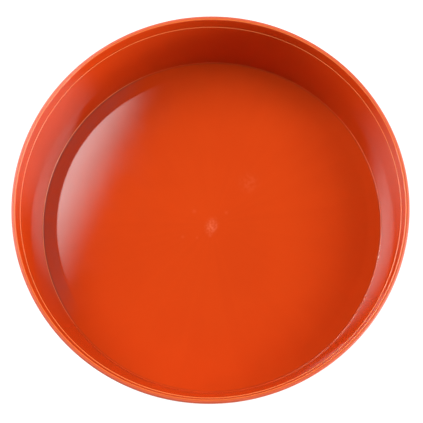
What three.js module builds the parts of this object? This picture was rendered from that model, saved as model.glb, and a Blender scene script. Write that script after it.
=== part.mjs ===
// A round plant saucer, moulded in one piece of glossy terracotta-coloured plastic.
// Millimetres, +Z up. The origin is the centre of the ring that the saucer stands on.
//
// One outline, drawn from the axis below to the axis above, is turned about the axis:
// the recessed underside, the flat foot, the underside of the band that turns up round the floor,
// the leaning wall, the stepped rim and its rounded lip, the inside of the wall, the band and the floor.

import * as THREE from 'three';

// Driving dimensions

// Over all: the widest point of the rim, foot to lip, and the wall measured level
const rimDiameter = 200;
const height = 46;
const wall = 2.05;
const wallLeanDegrees = 10.85;

// Inside: the level floor, and the shallow band that turns up round it to meet the wall.
// The dip is how far the middle of the band hangs below a straight slope.
const floorThickness = 1.8;
const bandWidth = 7;
const bandRise = 0.6;
const bandDip = 0.06;

// Rim: the lip's width, and a ledge inside and a shoulder outside, each a small step in the wall.
// The inside of the rim leans a little more than the wall, which leaves the ledge a third of a millimetre wide.
const lipWidth = 2.35;
const rimInsideLeanDegrees = 11.5;
const ledgeBelowLip = 6.8;
const shoulderBelowLip = 8.6;
const shoulderWidth = 0.7;

// Underside: the foot ring, the slope on its inner side, and the stub where the plastic came in
const footHeight = 0.6;
const footWidth = 6;
const footSlopeWidth = 2;
const gateStubDiameter = 5;
const gateStubHeight = 0.3;

// Rounded edges
const lipOuterRound = 0.9;
const lipInnerRound = 0.7;
const stepRound = 0.25;
const cornerRound = 0.4;
const wallFootRound = 2;

// Fineness of the facets
const facetsAround = 96;
const degreesPerArcStep = 30;
const bandSteps = 4;

const plastic = new THREE.MeshStandardMaterial({
  name: 'terracotta_plastic',
  color: new THREE.Color('rgb(228, 72, 20)'),
  roughness: 0.28,
  metalness: 0,
});

// Heights

const lipZ = height;
const ledgeZ = lipZ - ledgeBelowLip;
const shoulderZ = lipZ - shoulderBelowLip;
const floorZ = footHeight + floorThickness;
const cornerZ = floorZ + bandRise;

// Radii. Both faces of the wall, and the outside of the rim, lean out alike as they climb.
// Rounding the lip's leaning edge takes a little off it, so its sharp corner lies further out.

const leanAngle = THREE.MathUtils.degToRad(wallLeanDegrees);
const lean = Math.tan(leanAngle);
const rimInsideLean = Math.tan(THREE.MathUtils.degToRad(rimInsideLeanDegrees));
const lipEdgeAngle = Math.PI / 2 - leanAngle;
const lipCornerR = rimDiameter / 2 + lipOuterRound * (1 / Math.tan(lipEdgeAngle / 2) - 1);

const rimOutsideR = (z) => lipCornerR - lean * (lipZ - z);
const rimInsideR = (z) => lipCornerR - lipWidth - rimInsideLean * (lipZ - z);
const wallOutsideR = (z) => rimOutsideR(z) - shoulderWidth;
const wallInsideR = (z) => wallOutsideR(z) - wall;

const cornerR = wallInsideR(cornerZ);
const floorR = cornerR - bandWidth;
const footInnerR = floorR - footWidth;
const recessR = footInnerR - footSlopeWidth;
const gateStubR = gateStubDiameter / 2;

// The band from the wall's foot inwards. Below, it and the foot ring keep one thickness.

const bandPoint = (share) => ({
  r: floorR + bandWidth * share,
  z: floorZ + bandRise * share - 4 * bandDip * share * (1 - share),
});
const innerBand = Array.from({ length: bandSteps }, (_, i) => bandPoint(1 - (i + 1) / bandSteps));

// Each corner of the outline is a radius from the axis, a height, and how far it is rounded

const outline = [
  { r: 0, z: footHeight - gateStubHeight },
  { r: gateStubR, z: footHeight - gateStubHeight },
  { r: gateStubR, z: footHeight },
  { r: recessR, z: footHeight },
  { r: footInnerR, z: 0 },
  { r: floorR, z: 0 },
  { r: wallOutsideR(bandRise), z: bandRise, round: wallFootRound },
  { r: wallOutsideR(shoulderZ), z: shoulderZ, round: stepRound },
  { r: rimOutsideR(shoulderZ), z: shoulderZ, round: stepRound },
  { r: rimOutsideR(lipZ), z: lipZ, round: lipOuterRound },
  { r: rimInsideR(lipZ), z: lipZ, round: lipInnerRound },
  { r: rimInsideR(ledgeZ), z: ledgeZ },
  { r: wallInsideR(ledgeZ), z: ledgeZ, round: stepRound },
  { r: cornerR, z: cornerZ, round: cornerRound },
  ...innerBand,
  { r: 0, z: floorZ },
];

// The points of one corner: the corner itself, or an arc that touches both of its sides

function cornerPoints(before, corner, after) {
  const point = new THREE.Vector2(corner.r, corner.z);
  if (!corner.round) return [point];

  const toBefore = new THREE.Vector2(before.r, before.z).sub(point).normalize();
  const toAfter = new THREE.Vector2(after.r, after.z).sub(point).normalize();
  const angle = Math.acos(toBefore.dot(toAfter));
  const middle = toBefore.clone().add(toAfter).normalize();
  const centre = point.clone().addScaledVector(middle, corner.round / Math.sin(angle / 2));
  const start = point.clone().addScaledVector(toBefore, corner.round / Math.tan(angle / 2));

  const turn = (Math.PI - angle) * -Math.sign(toBefore.cross(toAfter));
  const steps = Math.ceil(Math.abs(THREE.MathUtils.radToDeg(turn)) / degreesPerArcStep);
  return Array.from({ length: steps + 1 }, (_, i) =>
    start.clone().rotateAround(centre, (turn * i) / steps));
}

// The outline turns about Y, and is then laid over so that its axis stands along Z

function turned(corners) {
  const points = corners.flatMap((corner, i) =>
    cornerPoints(corners[i - 1], corner, corners[i + 1]));
  return new THREE.LatheGeometry(points, facetsAround).rotateX(Math.PI / 2);
}

const saucer = new THREE.Mesh(turned(outline), plastic);
saucer.name = 'saucer';

const model = new THREE.Group();
model.add(saucer);

export default model;
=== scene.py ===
# %% [markdown]
# # A terracotta-coloured plant saucer
#
# This saucer stands under a flower pot and catches the water that drains from it. It is a single piece of
# glossy plastic: melted plastic is pressed into a steel mould through a small hole in the middle, cools, and
# is pushed out. So there is nothing to assemble here. What makes it look real is an exact outline, round
# edges of the right size, and a finish that mirrors the lamps as moulded plastic does.
#
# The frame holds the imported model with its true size. Loading it comes first, because every value below
# is worked out from it.

# %% Load the frame
import math

import bpy
from mathutils import Matrix, Vector, noise


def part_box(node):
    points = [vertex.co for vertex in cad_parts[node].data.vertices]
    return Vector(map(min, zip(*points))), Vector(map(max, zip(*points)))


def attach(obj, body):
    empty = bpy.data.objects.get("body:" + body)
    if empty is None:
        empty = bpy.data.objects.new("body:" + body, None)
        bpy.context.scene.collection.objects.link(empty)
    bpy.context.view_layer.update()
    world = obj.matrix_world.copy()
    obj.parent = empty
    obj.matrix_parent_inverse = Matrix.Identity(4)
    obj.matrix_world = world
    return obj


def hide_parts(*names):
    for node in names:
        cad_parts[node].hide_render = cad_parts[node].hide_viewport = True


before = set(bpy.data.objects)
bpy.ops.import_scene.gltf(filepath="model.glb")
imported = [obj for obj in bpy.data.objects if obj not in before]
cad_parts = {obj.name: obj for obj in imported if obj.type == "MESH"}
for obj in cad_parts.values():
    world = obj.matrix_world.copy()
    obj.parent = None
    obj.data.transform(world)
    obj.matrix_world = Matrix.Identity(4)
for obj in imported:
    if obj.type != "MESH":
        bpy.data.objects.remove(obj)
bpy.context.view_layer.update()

# %% [markdown]
# The frame's saucer is made of flat facets, enough to test that it stands and that a pot fits in. Its box
# gives the two sizes that the fine mesh must not pass: the height of the lip and the radius of the rim.

# %% Measure the frame
MM = 0.001
cad_low, cad_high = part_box("saucer")
lip_z = cad_high.z
rim_radius = cad_high.x
print(f"rim {2 * rim_radius / MM:.2f} mm across, foot at {cad_low.z / MM:.2f} mm, lip at {lip_z / MM:.2f} mm")

# %% [markdown]
# ## The camera
#
# The picture is taken from almost straight above, with a long lens from under a metre away. Ellipses fitted
# to the lip and to the foot of the wall gave the angle, the distance and the slight roll. The camera could
# be turned with three angles. Aiming it at a point and then rolling it about its own view is easier to read.

# %% Set up the camera
CAMERA_ELEVATION = math.radians(76.32)
CAMERA_DISTANCE = 833 * MM
CAMERA_ROLL = math.radians(-5.29)
AIM_POINT = Vector((0.45 * MM, -3.7 * MM, lip_z))
LENS_MM = 141.35

camera_data = bpy.data.cameras.new("camera")
camera_data.lens = LENS_MM
camera_data.clip_start = 0.01
camera = bpy.data.objects.new("camera", camera_data)
bpy.context.scene.collection.objects.link(camera)
bpy.context.scene.camera = camera

rim_centre = Vector((0, 0, lip_z))
towards_camera = Vector((0, -math.cos(CAMERA_ELEVATION), math.sin(CAMERA_ELEVATION)))
camera.location = rim_centre + towards_camera * CAMERA_DISTANCE
looking = (AIM_POINT - camera.location).to_track_quat("-Z", "Y").to_matrix()
camera.rotation_euler = (looking @ Matrix.Rotation(CAMERA_ROLL, 3, "Z")).to_euler()
print("camera at", [round(v, 4) for v in camera.location])

# %% [markdown]
# ## The outline
#
# A turned thing is drawn as half of its cross-section. The points here run from the middle of the underside,
# out over the foot, up the leaning wall, over the lip, and down inside to the middle of the floor. Sizes are
# in millimetres, as a mould maker would write them, and each corner carries the radius that rounds it.
#
# The floor is level. Round it runs a band, 7 mm wide, that turns up by little more than half a millimetre
# before the wall starts. It hardly shows as a shape, but it tilts the mirror: this is why the bright patch on
# the floor ends in a clean curve a little way in from the wall.

# %% Name the sizes
WALL = 2.05
WALL_LEAN = math.radians(10.85)
FLOOR_THICKNESS = 1.8
BAND_WIDTH = 7.0
BAND_RISE = 0.6
BAND_DIP = 0.06

LIP_WIDTH = 2.35
RIM_LEAN_INSIDE = math.radians(11.5)
LEDGE_BELOW_LIP = 6.8
SHOULDER_BELOW_LIP = 8.6
SHOULDER_WIDTH = 0.7

FOOT_HEIGHT = 0.6
FOOT_WIDTH = 6.0
FOOT_SLOPE_WIDTH = 2.0
STUB_RADIUS = 2.5
STUB_HEIGHT = 0.3

LIP_OUTER_ROUND = 0.9
LIP_INNER_ROUND = 0.7
LEDGE_ROUND = 0.25
RISER_ROUND = 0.12
WALL_FOOT_ROUND = 2.0
CORNER_ROUND = 0.5
FLOOR_EDGE_ROUND = 23.0
FOOT_ROUND = 0.8
STUB_ROUND = 0.1
print(f"the wall is {WALL} mm thick and the lip {LIP_WIDTH} mm wide")

# %% [markdown]
# Both faces of the wall and the outside of the rim lean out alike as they climb. The inside of the rim leans
# a little more, which leaves a ledge a third of a millimetre wide. Four small functions give the radius of
# each face at a height. The lip's outer edge leans too: rounding it takes a little off, and the sharp corner
# starts that much further out, so that the finished rim just reaches the frame's radius.

# %% Work out the radii
lip = lip_z / MM
ledge = lip - LEDGE_BELOW_LIP
shoulder = lip - SHOULDER_BELOW_LIP
floor = FOOT_HEIGHT + FLOOR_THICKNESS
wall_foot = floor + BAND_RISE

wall_lean = math.tan(WALL_LEAN)
rim_lean = math.tan(RIM_LEAN_INSIDE)
lip_edge_angle = math.pi / 2 - WALL_LEAN
lip_corner_radius = rim_radius / MM + LIP_OUTER_ROUND * (1 / math.tan(lip_edge_angle / 2) - 1)


def rim_outside(z):
    return lip_corner_radius - wall_lean * (lip - z)


def rim_inside(z):
    return lip_corner_radius - LIP_WIDTH - rim_lean * (lip - z)


def wall_outside(z):
    return rim_outside(z) - SHOULDER_WIDTH


def wall_inside(z):
    return wall_outside(z) - WALL


wall_foot_radius = wall_inside(wall_foot)
floor_radius = wall_foot_radius - BAND_WIDTH
foot_inner_radius = floor_radius - FOOT_WIDTH
recess_radius = foot_inner_radius - FOOT_SLOPE_WIDTH
print(f"floor to {floor_radius:.2f} mm, wall from {wall_foot_radius:.2f} mm at {wall_foot:.2f} mm high")

# %% [markdown]
# The band is slightly hollow, like the start of a bowl. A parabola through its two ends does that: the dip is
# how far its middle hangs below a straight line.

# %% List the corners
BAND_STEPS = 6


def band_point(share):
    """A point of the band, from its inner edge at 0 to the wall at 1."""
    rise = BAND_RISE * share - 4 * BAND_DIP * share * (1 - share)
    return (floor_radius + BAND_WIDTH * share, floor + rise, 0)


inner_band = [band_point(1 - step / BAND_STEPS) for step in range(1, BAND_STEPS)]

# Each corner is a radius from the axis, a height and the radius that rounds it
corners = [
    (0, FOOT_HEIGHT - STUB_HEIGHT, 0),
    (STUB_RADIUS, FOOT_HEIGHT - STUB_HEIGHT, STUB_ROUND),
    (STUB_RADIUS, FOOT_HEIGHT, STUB_ROUND),
    (recess_radius, FOOT_HEIGHT, FOOT_ROUND),
    (foot_inner_radius, 0, FOOT_ROUND),
    (floor_radius, 0, FOOT_ROUND),
    (wall_outside(BAND_RISE), BAND_RISE, WALL_FOOT_ROUND),
    (wall_outside(shoulder), shoulder, RISER_ROUND),
    (rim_outside(shoulder), shoulder, LEDGE_ROUND),
    (rim_outside(lip), lip, LIP_OUTER_ROUND),
    (rim_inside(lip), lip, LIP_INNER_ROUND),
    (rim_inside(ledge), ledge, RISER_ROUND),
    (wall_inside(ledge), ledge, LEDGE_ROUND),
    (wall_foot_radius, wall_foot, CORNER_ROUND),
    *inner_band,
    (floor_radius, floor, FLOOR_EDGE_ROUND),
    (0, floor, 0),
]
print(len(corners), "corners in the outline")

# %% [markdown]
# Sharp corners give a computed look, because every real edge catches a thin line of light. So each corner
# becomes an arc that touches both of its sides. A bevel modifier could round them as well, but it works on
# the finished mesh with one width, and here each edge of the mould has its own radius.

# %% Round the corners
DEGREES_PER_STEP = 9
LEAST_STEPS = 4


def arc(before, corner, after):
    """The points of an arc that rounds one corner, or the corner itself where it stays sharp."""
    here = Vector(corner[:2])
    rounding = corner[2]
    if rounding == 0:
        return [here]
    to_before = (Vector(before[:2]) - here).normalized()
    to_after = (Vector(after[:2]) - here).normalized()
    half_angle = to_before.angle(to_after) / 2
    centre = here + (to_before + to_after).normalized() * (rounding / math.sin(half_angle))
    start = here + to_before * (rounding / math.tan(half_angle)) - centre
    side = 1 if to_before.cross(to_after) < 0 else -1
    turn = side * (math.pi - 2 * half_angle)
    steps = max(LEAST_STEPS, math.ceil(abs(math.degrees(turn)) / DEGREES_PER_STEP))
    return [centre + Matrix.Rotation(turn * i / steps, 2) @ start for i in range(steps + 1)]


rounded = []
for i, corner in enumerate(corners):
    rounded += arc(corners[i - 1], corner, corners[(i + 1) % len(corners)])
print(len(rounded), "points after rounding")

# %% [markdown]
# Smooth shading blends the slope of neighbouring faces. If a tiny arc face sits beside a wide flat one, the
# blend smears over the whole flat and the mirror bends. Short guard strips at both ends of each flat keep
# the blend where the arc is, and long flats are cut into steps. In the middle of the floor, where the gate
# has left its mark, the points are replaced by finer ones. For that the outline is taken apart at its highest
# point, because the underside needs no fine points. Nearer the axis than one millimetre the faces would
# become needles, so no ring lies there.

# %% Cut the flats
GUARD_STRIP = 0.2
SHORTEST_FLAT = 3 * GUARD_STRIP
LONGEST_STEP = 2.0
FINE_STEP = 0.5
FINE_RADIUS = 8.0
SMALLEST_RING = 1.0


def cuts(a, b):
    """Points between a and b, with a guard strip at each end and even steps in the middle."""
    length = (b - a).length
    if length < SHORTEST_FLAT:
        return []
    along = (b - a) / length
    first = a + along * GUARD_STRIP
    last = b - along * GUARD_STRIP
    span = (last - first).length
    steps = max(1, math.ceil(span / LONGEST_STEP))
    return [first + along * (span * i / steps) for i in range(steps + 1)]


outline = []
for a, b in zip(rounded, rounded[1:]):
    outline += [a, *cuts(a, b)]
highest = max(range(len(outline)), key=lambda i: outline[i].y)
outside = [p for p in outline[:highest] if p.x == 0 or p.x > SMALLEST_RING]
inside = [p for p in outline[highest:] if p.x > FINE_RADIUS]
fine_steps = round((FINE_RADIUS - SMALLEST_RING) / FINE_STEP)
middle = [Vector((FINE_RADIUS - FINE_STEP * step, floor)) for step in range(fine_steps + 1)]
outline = [*outside, *inside, *middle, rounded[-1]]
print(len(outline), "points in the finished outline")

# %% [markdown]
# ## Turning the outline
#
# The Screw modifier can turn an outline too. Building the rings in code keeps every point in reach, so that
# the marks of the mould can be pressed into them afterwards. The two points on the axis become single
# points, and each is joined to its ring by triangles.

# %% Turn the outline
SEGMENTS = 320


def turned_mesh(name, points):
    """A closed mesh: the points, in millimetres, turned about the Z axis."""
    bottom, *rings, top = points
    vertices = [(0, 0, bottom.y * MM)]
    for point in rings:
        for step in range(SEGMENTS):
            angle = 2 * math.pi * step / SEGMENTS
            vertices.append((point.x * math.cos(angle) * MM, point.x * math.sin(angle) * MM, point.y * MM))
    vertices.append((0, 0, top.y * MM))

    faces = []
    last_ring = 1 + (len(rings) - 1) * SEGMENTS
    for step in range(SEGMENTS):
        after = (step + 1) % SEGMENTS
        faces.append((0, 1 + after, 1 + step))
        for start in range(1, last_ring, SEGMENTS):
            above = start + SEGMENTS
            faces.append((start + step, start + after, above + after, above + step))
        faces.append((last_ring + step, last_ring + after, len(vertices) - 1))

    mesh = bpy.data.meshes.new(name)
    mesh.from_pydata(vertices, [], faces)
    mesh.shade_smooth()
    return mesh


saucer_mesh = turned_mesh("saucer_moulding", outline)
print(len(saucer_mesh.vertices), "vertices,", len(saucer_mesh.polygons), "faces")

# %% [markdown]
# ## The mark of the gate
#
# The plastic entered the mould from below, at the middle of the floor. Above that place the floor has cooled
# last, and has sunk by a tenth of a millimetre into a small oval dish with a grainy skin. A bump in the
# material could suggest it, but a real dish also holds when the mesh is used elsewhere. Its grain comes from
# Blender's own noise, which gives the same value at the same place on every run.

# %% Press the gate's dish
GATE_CENTRE = Vector((-0.2, -1.1))
GATE_LENGTH = 6.0
GATE_WIDTH = 4.4
GATE_TURN = math.radians(66)
DISH_DEPTH = 0.09
GRAIN_HEIGHT = 0.012
GRAIN_SIZE = 1.1
FLOOR_TOLERANCE = 0.01


def gate_share(x, y):
    """1 in the middle of the gate's oval, 0 at its edge and beyond, in millimetres."""
    offset = Matrix.Rotation(-GATE_TURN, 2) @ (Vector((x, y)) - GATE_CENTRE)
    away = math.hypot(offset.x / GATE_LENGTH, offset.y / GATE_WIDTH)
    share = max(0, 1 - away * away)
    return share * share


pressed = 0
for vertex in saucer_mesh.vertices:
    x, y, z = vertex.co / MM
    if z < floor - FLOOR_TOLERANCE or math.hypot(x, y) > FINE_RADIUS:
        continue
    share = gate_share(x, y)
    grain = noise.noise(Vector((x, y, 0)) / GRAIN_SIZE)
    vertex.co.z += (GRAIN_HEIGHT * grain - DISH_DEPTH) * share * MM
    pressed += share > 0
print(pressed, "vertices pressed")

# %% [markdown]
# ## Joining the mesh to the frame
#
# The fine mesh now becomes an object and takes the place of the faceted one. It rides on the frame's only
# body.

# %% Join the mesh to the frame
saucer = bpy.data.objects.new("saucer_moulding", saucer_mesh)
bpy.context.scene.collection.objects.link(saucer)
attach(saucer, "root")
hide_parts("saucer")
print(saucer.name, "stands in for the frame's saucer")

# %% [markdown]
# ## Shader maths
#
# A procedural finish is a long sum of masks and noises. Written as single nodes it is hard to read, so a
# small class wraps a node's output and lets Python's own operators add the Math nodes: `1 - mask` or
# `mask * 0.3` then mean just that. Places and directions go through Vector Math, and colours through Mix,
# because a Math node would turn them into a single number.

# %% Wrap a node's output


class Wire:
    """The output of a shader node. Operators on it add Math or Vector Math nodes."""

    def __init__(self, nodes, socket):
        self.nodes = nodes
        self.socket = socket

    def combine(self, operation, *values):
        wide = self.socket.type in {"VECTOR", "RGBA"}
        kind = "ShaderNodeVectorMath" if wide else "ShaderNodeMath"
        return self.nodes.add(kind, {"operation": operation}, *values)

    def __add__(self, other):
        return self.combine("ADD", self, other)

    def __radd__(self, other):
        return self.combine("ADD", other, self)

    def __sub__(self, other):
        return self.combine("SUBTRACT", self, other)

    def __rsub__(self, other):
        return self.combine("SUBTRACT", other, self)

    def __mul__(self, other):
        return self.combine("MULTIPLY", self, other)

    def __rmul__(self, other):
        return self.combine("MULTIPLY", other, self)

    def fade(self, low, high):
        """0 up to low and 1 from high, with a smooth step between. If low is above high, it falls."""
        settings = {"interpolation_type": "SMOOTHSTEP"}
        if low < high:
            return self.nodes.add("ShaderNodeMapRange", settings, self, low, high, 0.0, 1.0)
        return self.nodes.add("ShaderNodeMapRange", settings, self, high, low, 1.0, 0.0)


print("Wire is ready")

# %% [markdown]
# The other class holds one node tree. Its `add` method makes any node, sets it up and joins its sockets. Some
# nodes, such as Mix, keep several sockets of one name and show only those that their settings need. So the
# settings come first, and values without a name then go to the shown sockets in turn.

# %% Wrap a node tree


class Nodes:
    """The node tree of one material, lamp or world."""

    def __init__(self, owner):
        owner.use_nodes = True
        self.tree = owner.node_tree
        self.tree.nodes.clear()

    def add(self, kind, settings=None, *values, output=0, **named):
        """Adds a node: its type, its settings, then the values or wires of its sockets."""
        node = self.tree.nodes.new(kind)
        for name, value in (settings or {}).items():
            setattr(node, name, value)
        shown_inputs = [socket for socket in node.inputs if socket.enabled]
        pairs = list(zip(shown_inputs, values))
        pairs += [(node.inputs[name.replace("_", " ")], value) for name, value in named.items()]
        for socket, value in pairs:
            if isinstance(value, Wire):
                self.tree.links.new(value.socket, socket)
            else:
                socket.default_value = value
        shown_outputs = [socket for socket in node.outputs if socket.enabled]
        if shown_outputs:
            return Wire(self, shown_outputs[output] if isinstance(output, int) else node.outputs[output])
        return node

    def mix(self, factor, first, second):
        """The first colour where the factor is 0, the second where it is 1."""
        return self.add("ShaderNodeMix", {"data_type": "RGBA"}, factor, first, second)


print("Nodes is ready")

# %% [markdown]
# ## Where on the saucer
#
# All marks on the saucer depend on where they are: how far from the axis and how high. The object's own
# coordinates tell this, and they stay with the saucer when it is moved. They are turned into millimetres
# first, so that every number below is a size that could be measured on the real thing.

# %% Find the place on the saucer
plastic = bpy.data.materials.new("glossy_terracotta_plastic")
nodes = Nodes(plastic)
place = nodes.add("ShaderNodeTexCoord", None, output="Object") * (1 / MM, 1 / MM, 1 / MM)
level_place = place * (1, 1, 0)
radius = nodes.add("ShaderNodeVectorMath", {"operation": "LENGTH"}, level_place, output="Value")
height = nodes.add("ShaderNodeSeparateXYZ", None, place, output="Z")


def noise_at(where, size, detail=2.0, offset=0.0):
    """Noise from 0 to 1 with blobs about this many millimetres wide.

    More detail adds finer blobs, and an offset picks another part of the noise.
    """
    moved = where * (1 / size, 1 / size, 1 / size) + (offset, offset, offset)
    return nodes.add("ShaderNodeTexNoise", None, Vector=moved, Scale=1.0, Detail=detail, output="Fac")


def spot(centre, size):
    """1 at a point, falling to 0 at this distance from it."""
    away = nodes.add("ShaderNodeVectorMath", {"operation": "DISTANCE"}, place, centre, output="Value")
    return away.fade(size, 0)


def strip(value, low, high, soft):
    """1 while the value lies between low and high, with soft ends."""
    return value.fade(low - soft, low + soft) * value.fade(high + soft, high - soft)


print("places are measured in millimetres")

# %% [markdown]
# ## The mark of the gate, in colour
#
# Round the gate the plastic was sheared and cooled unevenly, so the pigment looks paler in fine specks. An
# oval mask, turned and stretched like the dish, sets where they are, and noise cut off at a threshold makes
# the specks.

# %% Speckle the gate
GATE_PALE = 0.8
BLOOM_BETWEEN_SPECKS = 0.25
SPECK_SIZE = 1.3
SPECK_THRESHOLD = (0.4, 0.62)
OVAL_EDGE, OVAL_MIDDLE = 1.05, 0.15

turned = nodes.add(
    "ShaderNodeVectorRotate",
    {"rotation_type": "Z_AXIS"},
    place,
    (GATE_CENTRE.x, GATE_CENTRE.y, 0),
    Angle=-GATE_TURN,
)
from_gate = (turned - (GATE_CENTRE.x, GATE_CENTRE.y, 0)) * (1 / GATE_LENGTH, 1 / GATE_WIDTH, 0)
gate_distance = nodes.add("ShaderNodeVectorMath", {"operation": "LENGTH"}, from_gate, output="Value")
on_floor = strip(height - floor, low=-0.5, high=0.05, soft=0.1)
gate = gate_distance.fade(OVAL_EDGE, OVAL_MIDDLE) * on_floor
specks = noise_at(place, SPECK_SIZE, detail=3.0).fade(*SPECK_THRESHOLD)
bloom = GATE_PALE * gate * (BLOOM_BETWEEN_SPECKS + (1 - BLOOM_BETWEEN_SPECKS) * specks)
print("the gate's mark is centred at", tuple(GATE_CENTRE))

# %% [markdown]
# A few single specks lie further out, and one faint cloud of them. Noise could scatter such specks, but these
# have no pattern, so each gets its own place and its own width.

# %% Add the loose specks
# The place of each speck across the floor, and its width
LOOSE_SPECKS = [
    (8.2, 5.3, 1.6),
    (-8.6, 7.7, 1.8),
    (-15.9, -5.5, 1.4),
    (-8.4, -6.6, 1.2),
    (-1.5, -6.3, 1.4),
]
LOOSE_PALE = 0.22
CLOUD_PLACE = (21.7, 20.2, floor)
CLOUD_SIZE = 7.5
CLOUD_PALE = 0.3
CLOUD_GRAIN = 2.5
CLOUD_THRESHOLD = (0.35, 0.65)

first_speck, *other_specks = [spot((x, y, floor), size) for x, y, size in LOOSE_SPECKS]
loose = sum(other_specks, first_speck)
cloud = spot(CLOUD_PLACE, CLOUD_SIZE) * noise_at(place, CLOUD_GRAIN, detail=3.0).fade(*CLOUD_THRESHOLD)
pale_marks = bloom + LOOSE_PALE * loose + CLOUD_PALE * cloud
print(len(LOOSE_SPECKS), "loose specks")

# %% [markdown]
# ## Rubbed edges, with painted highlights
#
# A saucer is stacked, slid and wiped. The top of the lip is rubbed dull, and its paler colour is partly this
# wear and partly a painted sheen. The two narrow edges inside, at the lip and at the ledge, get a paler line
# that is a painted highlight. The foot ring underneath is scuffed from standing and sliding. Painting these
# by hand would need an unwrapped mesh. Here the radius and the height already say how far each point is from
# an edge, so the masks are made from them.

# %% Mask the rubbed edges and the painted highlights
INSIDE_FADES_OUT = (1.6, 0.8)
RUB_FADES_IN = (0.7, 1.0)
RUB_DEPTH, FULL_RUB_DEPTH = 1.6, 0.5
EDGE_DEPTH, FULL_EDGE_DEPTH = 0.8, 0.4
SCUFF_REACH = 0.25
SCUFF_GRAIN = 1.5
LEAST_SCUFF = 0.5

from_lip_edge = radius - rim_inside(lip)
below_lip = lip - height
inside_wall = (radius - wall_inside(lip)).fade(*INSIDE_FADES_OUT)

rubbed_lip = from_lip_edge.fade(*RUB_FADES_IN) * below_lip.fade(RUB_DEPTH, FULL_RUB_DEPTH)
# The paler line along the lip's inner edge is a painted highlight
inner_edge_highlight = strip(from_lip_edge, low=0.15, high=0.7, soft=0.12) * below_lip.fade(EDGE_DEPTH, FULL_EDGE_DEPTH)
# The ledge's paler colour is a painted highlight, and its dullness is real rubbing
rubbed_ledge_and_highlight = strip(height - ledge, low=-0.13, high=0.12, soft=0.08) * inside_wall
uneven_scuffs = LEAST_SCUFF + (1 - LEAST_SCUFF) * noise_at(place, SCUFF_GRAIN, detail=4.0)
scuffed_foot = height.fade(SCUFF_REACH, 0) * uneven_scuffs
print("the lip is rubbed", RUB_DEPTH, "mm down")

# %% [markdown]
# ## Painted shade and highlights at the foot of the wall
#
# A thin dark line in the corner at the foot of the wall is painted shade, darker on the left. A pale line
# along that corner, on the left and on the right, is a painted highlight. On the left the turned-up band also
# gets a darker, lilac tint, which is painted shade with a painted sheen. The scalar product of a place with a
# direction tells how far the place lies towards that side.

# %% Mask the painted shade and highlights
# The side towards the left, where the painted shade and the painted highlight are strongest
LEFT_SIDE = (-0.94, 0.34, 0)
HIGHLIGHT_FADES_IN = (45.0, 65.0)
SIDE_FADES_IN = (52.0, 72.0)
BAND_SHADE_INNER_EDGE = (-1.0, 1.0)
BAND_SHADE_LOWER_EDGE = (-0.4, -0.1)
BAND_SHADE_UPPER_EDGE = (1.0, 0.2)

from_corner = radius - wall_foot_radius
above_corner = height - wall_foot
# Painted shade: a thin dark line on the band in the corner at the foot of the wall
corner_shade = strip(from_corner, low=-0.9, high=-0.25, soft=0.35)
corner_shade = corner_shade * strip(above_corner, low=-BAND_RISE, high=0.15, soft=0.1) * inside_wall

towards_left = nodes.add("ShaderNodeVectorMath", {"operation": "DOT_PRODUCT"}, place, LEFT_SIDE, output="Value")
towards_either = nodes.add("ShaderNodeMath", {"operation": "ABSOLUTE"}, towards_left)
# Painted highlight: a pale line along the corner, towards the left and towards the right
foot_highlight = strip(from_corner, low=-0.25, high=0.3, soft=0.1)
foot_highlight = foot_highlight * strip(above_corner, low=0.05, high=0.4, soft=0.1) * inside_wall
foot_highlight = foot_highlight * towards_either.fade(*HIGHLIGHT_FADES_IN)

left_side_share = towards_left.fade(*SIDE_FADES_IN)
# Painted shade with a painted lilac sheen on the turned-up band, on the left
band_shade = (radius - floor_radius).fade(*BAND_SHADE_INNER_EDGE) * inside_wall
band_shade = band_shade * (height - floor).fade(*BAND_SHADE_LOWER_EDGE) * above_corner.fade(*BAND_SHADE_UPPER_EDGE)
band_shade = band_shade * left_side_share
# The painted shade and the painted highlight are strongest towards this side
print("water stood longest towards", LEFT_SIDE)

# %% [markdown]
# ## A nick and a thread of flash
#
# In one place the corner at the foot of the wall is slightly ragged, where the mould left a thread of flash,
# and next to it there are a small nick and a short scratch. They are about a millimetre wide, so they are
# masks for the colour and no shapes.

# %% Mask the nick
NICK_PLACE = (85.5, -26.3, wall_foot + 0.25)
NICK_SIZE = 1.3
SCRATCH_PLACE = (86.9, -23.1, wall_foot + 2.2)
SCRATCH_SIZE = 0.6
SCRATCH_SHARE = 0.7
RAGGED_PLACE = (86.0, -24.6, wall_foot)
RAGGED_SIZE = 9.0
RAGGED_FADES_OUT = (0, 0.5)
FLASH_GRAIN = 0.8
FLASH_THRESHOLD = (0.45, 0.6)

nick = spot(NICK_PLACE, NICK_SIZE) + SCRATCH_SHARE * spot(SCRATCH_PLACE, SCRATCH_SIZE)
foot_line = strip(above_corner, low=-0.1, high=0.35, soft=0.12)
foot_line = foot_line * strip(from_corner, low=-0.3, high=0.3, soft=0.2)
ragged = noise_at(place, FLASH_GRAIN, detail=3.0).fade(*FLASH_THRESHOLD)
flash = foot_line * ragged * spot(RAGGED_PLACE, RAGGED_SIZE).fade(*RAGGED_FADES_OUT)
print("nick at", NICK_PLACE)

# %% [markdown]
# ## The colour
#
# The plastic is coloured through, in a strong terracotta orange. Melted plastic runs outwards from the gate
# and carries the pigment along, so the tone varies very slightly in long streaks that point away from the
# middle, and in broad clouds. A direction that is scaled up and fed to noise gives such streaks.

# %% Colour the plastic
TERRACOTTA = (0.66, 0.061, 0.007, 1)
DEEP_TERRACOTTA = (0.6, 0.05, 0.006, 1)
PALE_TERRACOTTA = (0.78, 0.14, 0.05, 1)
STREAK_SPREAD = (40, 40, 40)
STREAK_DRIFT = (0.05, 0.05, 0.05)
STREAK_SIZE = 5.0
STREAK_SHARE = 0.35
BROAD_SIZE = 28.0
TONE_THRESHOLD = (0.35, 0.65)
TONE_SHIFT = 0.3

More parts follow.
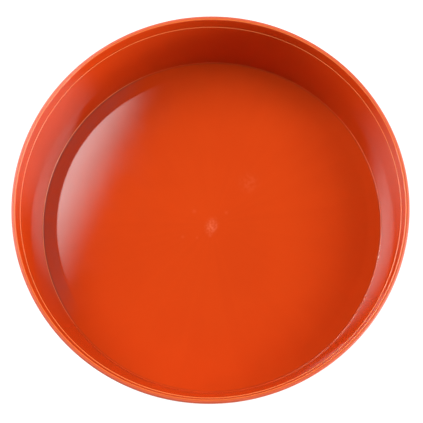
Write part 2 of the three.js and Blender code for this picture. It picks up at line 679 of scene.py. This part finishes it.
outwards = nodes.add("ShaderNodeVectorMath", {"operation": "NORMALIZE"}, level_place)
streaks = noise_at(outwards * STREAK_SPREAD + place * STREAK_DRIFT, STREAK_SIZE, offset=7.0)
clouds = noise_at(place, BROAD_SIZE, offset=3.0)
tone = (STREAK_SHARE * streaks + (1 - STREAK_SHARE) * clouds).fade(*TONE_THRESHOLD)
colour = nodes.mix(TONE_SHIFT * tone, TERRACOTTA, DEEP_TERRACOTTA)
colour = nodes.mix(pale_marks, colour, PALE_TERRACOTTA)
print("plain colour", TERRACOTTA[:3])

# %% [markdown]
# The marks lie over it, one after the other: first the worn lip, partly a painted sheen, and the painted
# highlights on the edges, then the painted shade in the corner with the dirt on the foot ring, the painted
# shade on the band, the painted highlight at the foot of the wall, and the nick last. Each mix lays one
# colour over all the earlier ones, as far as its mask says.

# %% Colour the marks
# Paler than the plastic: partly real wear, partly a painted sheen on the lip
WORN_SHEEN_TERRACOTTA = (0.72, 0.12, 0.045, 1)
# Painted highlight colour, for the edge lines and for the line at the foot of the wall
HIGHLIGHT_TERRACOTTA = (0.88, 0.25, 0.07, 1)
# Painted shade in the corner, and real dirt on the foot ring
SHADE_AND_DIRT_TERRACOTTA = (0.36, 0.05, 0.016, 1)
# Painted shade with a painted lilac sheen, for the band on the left
BAND_SHADE_TINT = (0.36, 0.1, 0.09, 1)
BARE_PALE = (0.9, 0.5, 0.33, 1)

# How much of its own colour each mark shows where its mask is full
LIP_WEAR_AND_SHEEN = 0.75
INNER_EDGE_HIGHLIGHT = 0.6
LEDGE_HIGHLIGHT = 0.75
CORNER_SHADE, LEFT_SIDE_SHADE = 0.3, 0.4
FOOT_DIRT = 0.5
BAND_SHADE_STRENGTH, BAND_SHADE_CLOUDS, BAND_SHADE_CLOUD_SIZE = 0.15, 0.4, 6.0
FOOT_HIGHLIGHT, LEFT_SIDE_HIGHLIGHT = 0.45, 0.35
FLASH_PALE = 0.6

# Painted highlights along the lip's inner edge and along the ledge
edge_highlights = INNER_EDGE_HIGHLIGHT * inner_edge_highlight + LEDGE_HIGHLIGHT * rubbed_ledge_and_highlight
# Painted shade in the corner, stronger on the left, and real dirt on the foot ring
corner_shade_and_foot_dirt = (CORNER_SHADE + LEFT_SIDE_SHADE * left_side_share) * corner_shade + FOOT_DIRT * scuffed_foot
# Painted shade and sheen on the band, in uneven clouds
uneven_band_shade = band_shade * (BAND_SHADE_STRENGTH + BAND_SHADE_CLOUDS * noise_at(place, BAND_SHADE_CLOUD_SIZE, detail=3.0))
# Painted highlight along the foot of the wall, stronger on the left
painted_foot_highlight = (FOOT_HIGHLIGHT + LEFT_SIDE_HIGHLIGHT * left_side_share) * foot_highlight

# The paler lip is partly wear and partly a painted sheen
colour = nodes.mix(LIP_WEAR_AND_SHEEN * rubbed_lip, colour, WORN_SHEEN_TERRACOTTA)
colour = nodes.mix(edge_highlights, colour, HIGHLIGHT_TERRACOTTA)
colour = nodes.mix(corner_shade_and_foot_dirt, colour, SHADE_AND_DIRT_TERRACOTTA)
colour = nodes.mix(uneven_band_shade, colour, BAND_SHADE_TINT)
colour = nodes.mix(painted_foot_highlight, colour, HIGHLIGHT_TERRACOTTA)
colour = nodes.mix(nick + FLASH_PALE * flash, colour, BARE_PALE)
# Of these six marks, the edge lines, the corner line, the band's tint and the foot line are painted light,
# and the lip is partly a painted sheen
print("six marks of use lie over the plain colour")

# %% [markdown]
# ## The gloss
#
# The inside mirrors the lamps sharply, because the mould was polished. Rubbed places scatter the mirror
# image into a soft pale sheen, which is how worn plastic edges look. The refractive index is a single
# number, so it is set on the shader itself.

# %% Set the gloss
POLISHED = 0.05
SMEARED = 0.02
SMEAR_SIZE = 14.0
SMEAR_THRESHOLD = (0.4, 0.7)
RUBBED = 0.38
SCUFFED = 0.3
SLIGHTLY_DULL = 0.12
SPECK_DULL = 0.1
PLASTIC_IOR = 1.58

smears = noise_at(place, SMEAR_SIZE, detail=3.0, offset=11.0).fade(*SMEAR_THRESHOLD)
roughness = POLISHED + SMEARED * smears + RUBBED * rubbed_lip
roughness = roughness + SLIGHTLY_DULL * (rubbed_ledge_and_highlight + gate) + SPECK_DULL * loose
roughness = roughness + SCUFFED * (scuffed_foot + nick)
print("polished to a roughness of", POLISHED)

# %% [markdown]
# ## The skin
#
# Moulded plastic isn't perfectly flat: its skin waves by a few thousandths of a millimetre, which makes the
# edges of mirrored lamps waver a little. The lip and the foot carry fine scuffs. These heights are far too
# small to model, so they go through a Bump node, in metres, with the strength left at 1.

# %% Wave the skin
SKIN_WAVE = 0.003 * MM
WAVE_SIZE = 5.0
SCUFF_DEPTH = 0.006 * MM
SCUFF_SIZE = 0.6
GATE_SCUFFS = 0.6

waves = noise_at(place, WAVE_SIZE, offset=5.0) * SKIN_WAVE
scuffed = rubbed_lip + scuffed_foot + GATE_SCUFFS * gate
scuffs = noise_at(place, SCUFF_SIZE, detail=3.0, offset=9.0) * scuffed * SCUFF_DEPTH
skin = nodes.add("ShaderNodeBump", None, Strength=1.0, Distance=1.0, Height=waves + scuffs)

surface = nodes.add(
    "ShaderNodeBsdfPrincipled",
    None,
    Base_Color=colour,
    Roughness=roughness,
    IOR=PLASTIC_IOR,
    Normal=skin,
)
nodes.add("ShaderNodeOutputMaterial", None, surface)
saucer_mesh.materials.append(plastic)
print(len(nodes.tree.nodes), "nodes in the plastic")

# %% [markdown]
# ## The table
#
# The table is plain white. To the camera and to mirrors it glows almost at full white by itself, and only a
# part of what they see is lit by the lamps. So the saucer keeps a faint shadow and the picture keeps its
# white ground, with no extra light on the saucer.

# %% Lay the table
TABLE_SIZE = 12.0
TABLE_WHITE = (0.9, 0.9, 0.9, 1)
GLOW_SHARE = 0.85
GLOW = 1.15

half_table = TABLE_SIZE / 2
table_mesh = bpy.data.meshes.new("table")
table_corners = [(x, y, 0) for x, y in ((-1, -1), (1, -1), (1, 1), (-1, 1))]
table_mesh.from_pydata([Vector(c) * half_table for c in table_corners], [], [(0, 1, 2, 3)])
table = bpy.data.objects.new("table", table_mesh)
bpy.context.scene.collection.objects.link(table)


def seen_in(nodes):
    """1 for rays that the camera sees directly, in a mirror or through glass, and else 0."""
    camera_ray = nodes.add("ShaderNodeLightPath", None, output="Is Camera Ray")
    glossy_ray = nodes.add("ShaderNodeLightPath", None, output="Is Glossy Ray")
    glass_ray = nodes.add("ShaderNodeLightPath", None, output="Is Transmission Ray")
    either = {"operation": "MAXIMUM"}
    mirrored = nodes.add("ShaderNodeMath", either, glossy_ray, glass_ray)
    return nodes.add("ShaderNodeMath", either, camera_ray, mirrored)


table_white = bpy.data.materials.new("white_table")
table_nodes = Nodes(table_white)
lit = table_nodes.add("ShaderNodeBsdfDiffuse", None, TABLE_WHITE)
glow = table_nodes.add("ShaderNodeEmission", None, (1, 1, 1, 1), GLOW)
table_surface = table_nodes.add("ShaderNodeMixShader", None, seen_in(table_nodes) * GLOW_SHARE, lit, glow)
table_nodes.add("ShaderNodeOutputMaterial", None, table_surface)
table_mesh.materials.append(table_white)
print(f"table {TABLE_SIZE:.0f} m across")

# %% [markdown]
# ## The room
#
# The room is white near the horizon and dark overhead, as a studio is. The camera and the plastic's mirror
# see it, but it adds no light of its own: all the light on the saucer comes from the lamps.

# %% Paint the room
WHITE_UP_TO = 0.2
DARK_FROM = 0.45

world = bpy.data.worlds.new("studio")
bpy.context.scene.world = world
room_nodes = Nodes(world)
direction = room_nodes.add("ShaderNodeTexCoord", None, output="Generated")
upwards = room_nodes.add("ShaderNodeSeparateXYZ", None, direction, output="Z")
strength = upwards.fade(DARK_FROM, WHITE_UP_TO) * seen_in(room_nodes)
background = room_nodes.add("ShaderNodeBackground", None, (1, 1, 1, 1), strength)
room_nodes.add("ShaderNodeOutputWorld", None, background)
print(f"dark from {math.degrees(math.asin(DARK_FROM)):.0f} degrees above the horizon")

# %% [markdown]
# ## The lamps
#
# Glossy plastic shows its lamps, so their places can be read from its highlights. Real softboxes are darker
# towards their edges, and so are these: their nodes fade the glow near each edge. A gradient picture on each
# lamp would do the same, but nodes need no file. The place on a lamp runs from 0 to 1 both ways, so each
# fade is a share of the lamp's width or length.

# %% Build a soft panel


def soft_panel(name, size, radiance, fades):
    """A rectangular lamp that fades at its edges: left, right, near and far."""
    lamp = bpy.data.lights.new(name, "AREA")
    lamp.shape = "RECTANGLE"
    lamp.size, lamp.size_y = size
    lamp.energy = math.pi * lamp.size * lamp.size_y * radiance

    lamp_nodes = Nodes(lamp)
    on_panel = lamp_nodes.add("ShaderNodeNewGeometry", None, output="Parametric")
    across = lamp_nodes.add("ShaderNodeSeparateXYZ", None, on_panel, output="X")
    along = lamp_nodes.add("ShaderNodeSeparateXYZ", None, on_panel, output="Y")
    left, right, near, far = fades
    soft = across.fade(0, left) * across.fade(1, 1 - right)
    soft = soft * along.fade(0, near) * along.fade(1, 1 - far)
    glow = lamp_nodes.add("ShaderNodeEmission", None, (1, 1, 1, 1), soft)
    lamp_nodes.add("ShaderNodeOutputLight", None, glow)

    panel = bpy.data.objects.new(name, lamp)
    panel.visible_camera = False
    bpy.context.scene.collection.objects.link(panel)
    return panel


print("soft_panel is ready")

# %% [markdown]
# Two large panels hang a metre above the table, one on each side. The left one makes the bright crescent on
# the floor, and a narrow strip beside it shapes the crescent's soft end. Both panels are also mirrored twice,
# first by the floor and then by the wall across from them, which gives the wall its sheen.

# %% Hang the upper lamps
HANGING_HEIGHT = 1.0


def hang(name, x, y, turn, size, radiance, fades):
    """A level panel that shines straight down, turned by an angle in degrees."""
    panel = soft_panel(name, size, radiance, fades)
    panel.location = (x, y, HANGING_HEIGHT)
    panel.rotation_euler = (0, 0, math.radians(turn))


hang(
    "left_panel",
    x=-0.887,
    y=0.601,
    turn=-24.3,
    size=(1.42, 1.216),
    radiance=10.3,
    fades=(0.76, 0.32, 0.37, 0.11),
)
hang(
    "left_strip",
    x=-0.148,
    y=0.305,
    turn=-28,
    size=(0.1, 0.295),
    radiance=10.7,
    fades=(0.46, 0.97, 0.13, 0.18),
)
hang(
    "right_panel",
    x=0.995,
    y=0.05,
    turn=0.6,
    size=(1.125, 1.2),
    radiance=7.6,
    fades=(0.28, 0.19, 0.15, 0.5),
)
print("three lamps hang at", HANGING_HEIGHT, "m")

# %% [markdown]
# Light from overhead only grazes a steep wall. So four more panels stand round the saucer, a low one and a
# higher one on each side, and light the inside of the wall across from them.

# %% Stand the side lamps
STANDING_DISTANCE = 3.0
STANDING_FADES = (0.3, 0.3, 0.3, 0.3)


def stand(name, azimuth, elevation, size, radiance):
    """A panel that faces the saucer from a compass direction and a height, both in degrees."""
    panel = soft_panel(name, size, radiance, STANDING_FADES)
    level = STANDING_DISTANCE * math.cos(math.radians(elevation))
    rise = STANDING_DISTANCE * math.sin(math.radians(elevation))
    turn = math.radians(azimuth)
    panel.location = Vector((level * math.cos(turn), level * math.sin(turn), rise))
    panel.rotation_euler = panel.location.to_track_quat("Z", "Y").to_euler()


stand("low_right", azimuth=-34, elevation=6, size=(1.5, 0.66), radiance=29.0)
stand("tall_right", azimuth=-11, elevation=18, size=(1.4, 1.8), radiance=6.4)
stand("low_left", azimuth=169, elevation=6, size=(1.5, 0.66), radiance=18.4)
stand("high_left", azimuth=146, elevation=30, size=(1.4, 0.7), radiance=9.4)
print("four lamps stand at", STANDING_DISTANCE, "m")

# %% [markdown]
# ## The finish
#
# The picture is shown with the Standard view transform, because the usual one greys strong colours, and this
# orange would lose its depth.

bpy.context.scene.view_settings.view_transform = "Standard"
